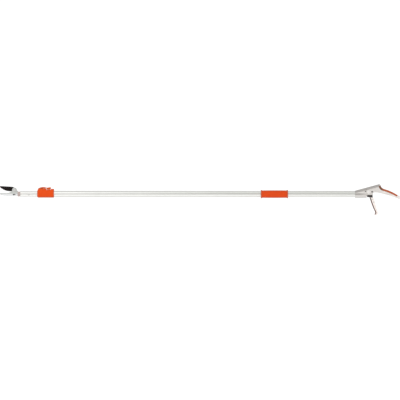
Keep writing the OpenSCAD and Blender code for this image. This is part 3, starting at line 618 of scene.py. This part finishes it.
def tube(name, node, outer_inset, wall, material, body):
    """A pole: outer face, wall, bore, and ends with a small sawn chamfer."""
    low, high = (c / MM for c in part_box(node))
    x0, x1 = low.x, high.x
    chamfer, spans = 0.25, 40
    inner_inset = outer_inset + wall
    flats = [x0 + chamfer + (x1 - x0 - 2 * chamfer) * i / spans for i in range(spans + 1)]
    outside = [(x0, outer_inset + chamfer)] + [(x, outer_inset) for x in flats]
    outside.append((x1, outer_inset + chamfer))
    inside = [(x1, inner_inset - chamfer)] + [(x, inner_inset) for x in reversed(flats)]
    inside.append((x0, inner_inset - chamfer))
    stations = outside + inside
    verts = []
    for x, inset in stations:
        verts += [(x, y, z) for y, z in pole_ring(inset)]
    size = len(pole_ring(0))
    obj = mesh_object(name, verts, rings_to_faces(len(stations), size, loop=True), material)
    sharp_rims(obj, x0 * MM, x1 * MM)
    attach(obj, body)
    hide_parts(node)


def sharp_rims(obj, x0, x1):
    """Marks the rims at both ends of a tube as sharp, so the long faces keep clean shading."""
    near = 0.0006
    sharp = obj.data.attributes.new("sharp_edge", "BOOLEAN", "EDGE")
    flags = []
    for edge in obj.data.edges:
        a, b = (obj.data.vertices[i].co for i in edge.vertices)
        at_end = min(abs(a.x - x0), abs(a.x - x1)) < near
        flags.append(at_end and abs(a.x - b.x) < 1e-7)
    sharp.data.foreach_set("value", flags)


tube("outer_pole_tube", "outer_pole", 0.0, 1.5, OUTER_POLE_SHADED_ALUMINIUM, "pole_and_handle")
tube("inner_pole_tube", "inner_pole", 1.95, 1.3, ALUMINIUM, "head")


# ---------------------------------------------------------------- front grip

def match_ring(points):
    """Starts a closed ring at the point nearest +Y, so it pairs with a turned ring."""
    best = min(range(len(points)), key=lambda j: abs(math.atan2(points[j][1], points[j][0])))
    return points[best:] + points[:best]


def front_grip():
    """Soft grip turned on the pole: rounded flanges, a barrelled body and a groove beside each flange."""
    low, high = (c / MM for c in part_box("front_grip"))
    half = (high.x - low.x) / 2
    flange_r, body_r, flange_t = 19.0, 17.0, 6.0
    rim_r, heel_r = 1.4, 1.2
    groove = ((0.1, 17.3), (0.9, 16.75), (2.0, 16.7), (2.8, body_r))
    barrel_start, barrel, barrel_steps = 3.4, 0.42, 24
    around = 128
    profile = [(-half, body_r)]
    profile += arc(-half + rim_r, flange_r - rim_r, rim_r, 180, 90, 6)
    profile += arc(-half + flange_t - heel_r, flange_r - heel_r, heel_r, 90, 0, 6)
    profile += [(-half + flange_t + x, r) for x, r in groove]
    end_count = len(profile)
    start = half - flange_t - barrel_start
    for i in range(barrel_steps + 1):
        t = 2 * i / barrel_steps - 1
        profile.append((start * t, body_r + barrel * (1 - t * t)))
    profile += [(-x, r) for x, r in reversed(profile[:end_count])]
    clearance = 0.05
    bore = pole_ring(-clearance)
    verts = []
    for x, r in profile:
        verts += [(x, r * math.cos(a), r * math.sin(a)) for a in ring_angles(around)]
    faces = rings_to_faces(len(profile), around, closed_ends=False)
    base = len(verts)
    rim = match_ring(resample(bore + bore[:1], around)[:-1])
    last = (len(profile) - 1) * around
    for x in (-half, half):
        verts += [(x, y, z) for y, z in rim]
    for j in range(around):
        k = (j + 1) % around
        faces.append((j, k, base + k, base + j))
        faces.append((last + k, last + j, base + around + j, base + around + k))
        faces.append((base + j, base + k, base + around + k, base + around + j))
    obj = mesh_object("front_grip_soft", verts, faces, ORANGE_GRIP)
    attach(obj, "pole_and_handle")
    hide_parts("front_grip")


front_grip()


# ---------------------------------------------------------------- soft pads on the handle and the lever

def section_points(half_h, half_w, corner, per_corner):
    """A rounded rectangle: across is Y, up is the way from the lower line to the upper line."""
    most = 0.96
    corner = min(corner, most * half_h, most * half_w)
    out = []
    for sy, sz, start in ((1, 1, 0), (-1, 1, 90), (-1, -1, 180), (1, -1, 270)):
        out += arc(sy * (half_w - corner), sz * (half_h - corner), corner, start, start + 90, per_corner)
    return out


def pad(name, node, upper, lower, half_w, corner, stations, ribs, rib_depth, material, body):
    """A soft pad between two lines of the side view, with rounded edges and ribs on its outer face."""
    top = resample(upper, stations)
    low = resample(lower, stations)
    round_off, flattening, end_rings, least_half_h = 1.2, 0.8, 3, 0.4
    rib_start, rib_fade, corner_points = 0.06, 3.0, 6
    verts = []
    rings = 0
    for i in range(-end_rings, stations + end_rings + 1):
        k = min(max(i, 0), stations)
        over = max(-i, i - stations, 0)
        if over == 0 and (0 < k < end_rings or stations - end_rings < k < stations):
            continue
        a, b = Vector(top[k]), Vector(low[k])
        middle, up = (a + b) / 2, (a - b)
        half_h = max(up.length / 2, least_half_h)
        up = up.normalized()
        along = Vector((up.y, -up.x))
        turn = math.pi / 2 * over / end_rings
        shrink = 1 - math.cos(turn)
        push = 0.0
        if k in (0, stations):
            push = round_off * (math.sin(turn) - 1) * (1 if k else -1)
        centre = middle + along * push
        t = k / stations
        half_section = (half_h - shrink * round_off * flattening, half_w - shrink * round_off)
        for y, h in section_points(*half_section, corner, corner_points):
            if h > 0 and ribs and rib_start < t < 1 - rib_start:
                fade = min(1.0, (half_w - abs(y)) / rib_fade)
                h -= rib_depth * (0.5 - 0.5 * math.cos(2 * math.pi * ribs * t)) * fade
            p = centre + up * h
            verts.append((p.x, y, p.y))
        rings += 1
    size = len(verts) // rings
    obj = mesh_object(name, verts, rings_to_faces(rings, size), material)
    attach(obj, body)
    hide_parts(node)


PALM_TOP = bezier((487.2, 41.5), (491, 27), (505, 23.2), 12)
PALM_TOP += bezier((506, 22.9), (540, 13), (566.5, -5.1), 18)
PALM_LOW = bezier((479, 35.4), (484, 17), (503, 14.4), 12)
PALM_LOW += bezier((505, 13.8), (536, 3.8), (559, -9.8), 18) + [(563.5, -10.8)]
pad("palm_pad_soft", "handle_pad", PALM_TOP, PALM_LOW, 12.8, 2.4, 168, 21, 0.35, PAD_ORANGE,
    "pole_and_handle")

PAD_DEPTH = 4.55
TRIGGER_FRONT = bezier((438.2, -15.5), (448.6, -52), (462.6, -80), 24)
TRIGGER_FRONT += bezier((463.8, -83), (465.6, -89), (459.3, -93.6), 8)
TRIGGER_BACK = [(x + PAD_DEPTH, z) for x, z in TRIGGER_FRONT]
pad("trigger_pad_soft", "trigger_pad", TRIGGER_FRONT[::-1], TRIGGER_BACK[::-1], 9.2, 2.0, 150, 17, 0.3,
    TRIGGER_PAD_SHADED_ORANGE, "trigger")


# ---------------------------------------------------------------- cutting blade with its ground edge

def cutting_blade():
    """The blade from its CAD solid with a bevel ground on the far side of the belly."""
    source = NODES["cutting_blade"]
    blank = bpy.data.objects.new("blade_blank", source.data.copy())
    scene.collection.objects.link(blank)
    join_facets(blank)
    # the edge as the CAD draws it, carried on a little past both ends
    belly = [(-1267.3, 37.0)] + bezier((-1265.4, 35), (-1243, 11.5), (-1208, 13.2), 40)
    belly += [(-1205.0, 13.6)]
    near_y, far_y = (c.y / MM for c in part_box("cutting_blade"))
    land, grind = 0.25, 6.5
    outside, spare, lid = 2.0, 0.6, 3.0
    verts = []
    for i, p in enumerate(belly):
        before, after = belly[max(i - 1, 0)], belly[min(i + 1, len(belly) - 1)]
        run = Vector((after[0] - before[0], after[1] - before[1])).normalized()
        into = Vector((-run.y, run.x))
        if into.y < 0:
            into = -into
        width = grind * min(1.0, 0.35 + i / 14, 0.3 + (len(belly) - 1 - i) / 8)
        slope = (far_y - near_y - land) / width
        over_y = far_y + spare * slope
        for reach, y in ((-outside, near_y + land - outside * slope), (width + spare, over_y),
                         (-outside, over_y + lid)):
            q = Vector(p) + into * reach
            verts.append((q.x, y, q.y))
    cutter = mesh_object("blade_grind", verts, rings_to_faces(len(belly), 3))
    cutter.data.materials.append(COATING)
    cutter.data.materials.append(GROUND)
    for poly in cutter.data.polygons:
        poly.material_index = 1
    blank.data.materials.clear()
    blank.data.materials.append(COATING)
    blank.data.materials.append(GROUND)
    cut = blank.modifiers.new("grind", "BOOLEAN")
    cut.operation = "DIFFERENCE"
    cut.solver = "EXACT"
    cut.object = cutter
    bpy.context.view_layer.update()
    evaluated = blank.evaluated_get(bpy.context.evaluated_depsgraph_get())
    mesh = bpy.data.meshes.new_from_object(evaluated)
    mesh.name = "cutting_blade_ground"
    bpy.data.objects.remove(blank)
    bpy.data.objects.remove(cutter)
    bm = bmesh.new()
    bm.from_mesh(mesh)
    bmesh.ops.remove_doubles(bm, verts=bm.verts, dist=2e-6)
    bmesh.ops.dissolve_limit(bm, angle_limit=math.radians(0.5), verts=bm.verts, edges=bm.edges,
                             delimit={"MATERIAL"})
    bm.to_mesh(mesh)
    bm.free()
    smooth(mesh)
    obj = bpy.data.objects.new("cutting_blade_ground", mesh)
    scene.collection.objects.link(obj)
    round_edges(obj, 0.18, 2, 30)
    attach(obj, "blade")
    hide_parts("cutting_blade")


cutting_blade()


# ---------------------------------------------------------------- floor, light and camera
# The floor is in millimetres as above; the lights and the camera are in metres.

def disc(name, z, material):
    """A very large round sheet for the studio, finer near the middle."""
    reach, rings, around = 60000, 24, 64
    verts = []
    for i in range(rings):
        r = reach * (i / (rings - 1)) ** 3 + 1
        verts += [(r * math.cos(a), r * math.sin(a), z) for a in ring_angles(around)]
    faces = rings_to_faces(rings, around, closed_ends=False) + [tuple(range(around))]
    obj = mesh_object(name, verts, faces, material)
    return obj


def floor():
    """A white floor for the camera, and one just below it that gives the bounce and reflections."""
    gap, below_seen = 1.0, 0.5
    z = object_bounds()[0].z / MM - gap
    paper = floor_finish("floor_paper", "fbfbfb", "f6f6f6", 0.35)
    seen = disc("studio_floor", z, paper)
    seen.visible_glossy = seen.visible_diffuse = seen.visible_shadow = seen.visible_transmission = False
    bounce = floor_finish("floor_bounce", "f4f4f4", "eeeeee", 0.25)
    under = disc("studio_floor_bounce", z - below_seen, bounce)
    under.visible_camera = False


def floor_finish(name, colour, cloud_colour, glow):
    """Matt white card with faint clouding and a little light of its own."""
    f = Finish(name, srgb(colour), 0.9, specular=0.1)
    f.tint(f.ramp(f.noise(3, detail=2.0), 0.4, 0.7, 0.0, 0.5), srgb(cloud_colour))
    f.bsdf.inputs["Emission Color"].default_value = (1, 1, 1, 1)
    f.bsdf.inputs["Emission Strength"].default_value = glow
    return f.mat


# brightness overhead and behind, on the camera's side, and of the low wall behind
GREY_LEVEL = 0.66
KEY_LEVEL = 1.1
WALL_LEVEL = 1.1


def world():
    """A studio lit from the camera's side, grey overhead and behind, with a white wall low behind."""
    w = bpy.data.worlds.new("studio")
    scene.world = w
    w.use_nodes = True
    tree = w.node_tree
    background = tree.nodes["Background"]
    coord = tree.nodes.new("ShaderNodeTexCoord")
    split = tree.nodes.new("ShaderNodeSeparateXYZ")
    tree.links.new(coord.outputs["Generated"], split.inputs["Vector"])

    def step(value, low, high):
        """A smooth step from 0 at low to 1 at high."""
        n = tree.nodes.new("ShaderNodeMapRange")
        n.interpolation_type = "SMOOTHSTEP"
        n.inputs["From Min"].default_value = low
        n.inputs["From Max"].default_value = high
        tree.links.new(value, n.inputs["Value"])
        return n.outputs["Result"]

    def combine(operation, a, b):
        """A math operation on two values, each an output or a number."""
        n = tree.nodes.new("ShaderNodeMath")
        n.operation = operation
        for socket, value in zip(n.inputs, (a, b)):
            if isinstance(value, (int, float)):
                socket.default_value = value
            else:
                tree.links.new(value, socket)
        return n.outputs[0]

    up, depth = split.outputs["Z"], split.outputs["Y"]
    camera_side = step(depth, -0.2, -0.55)
    wall = combine("MULTIPLY", step(depth, -0.1, 0.1), step(up, 0.2, 0.08))
    level = combine("ADD", GREY_LEVEL, combine("MULTIPLY", camera_side, KEY_LEVEL - GREY_LEVEL))
    level = combine("ADD", level, combine("MULTIPLY", wall, WALL_LEVEL - GREY_LEVEL))
    tree.links.new(level, background.inputs["Strength"])
    background.inputs["Color"].default_value = (1, 1, 1, 1)


def area(name, place, target, size, power):
    """A soft rectangular light aimed at a target."""
    light = bpy.data.lights.new(name, "AREA")
    light.shape = "RECTANGLE"
    light.size, light.size_y = size
    light.energy = power
    obj = bpy.data.objects.new(name, light)
    scene.collection.objects.link(obj)
    obj.location = place
    obj.rotation_euler = (Vector(target) - Vector(place)).to_track_quat("-Z", "Y").to_euler()


def camera():
    """A long lens level with the pole, framing the tool as its picture does."""
    view_width, centre_x, centre_z = 1.84, -0.3422, -0.0271
    lens, sensor = 300.0, 36.0
    data = bpy.data.cameras.new("camera")
    data.lens = lens
    data.sensor_width = sensor
    data.clip_end = 200
    obj = bpy.data.objects.new("camera", data)
    scene.collection.objects.link(obj)
    obj.location = (centre_x, -view_width * lens / sensor, centre_z)
    obj.rotation_euler = (math.radians(90), 0, 0)
    scene.camera = obj


floor()
world()
middle = (-0.34, 0.0, 0.0)
area("softbox_front", (-1.2, -2.2, 1.3), middle, (2.4, 1.2), 4)
area("softbox_back", (0.6, 1.8, 1.5), middle, (2.4, 1.0), 3)
camera()
scene.view_settings.view_transform = "Standard"
scene.view_settings.look = "None"
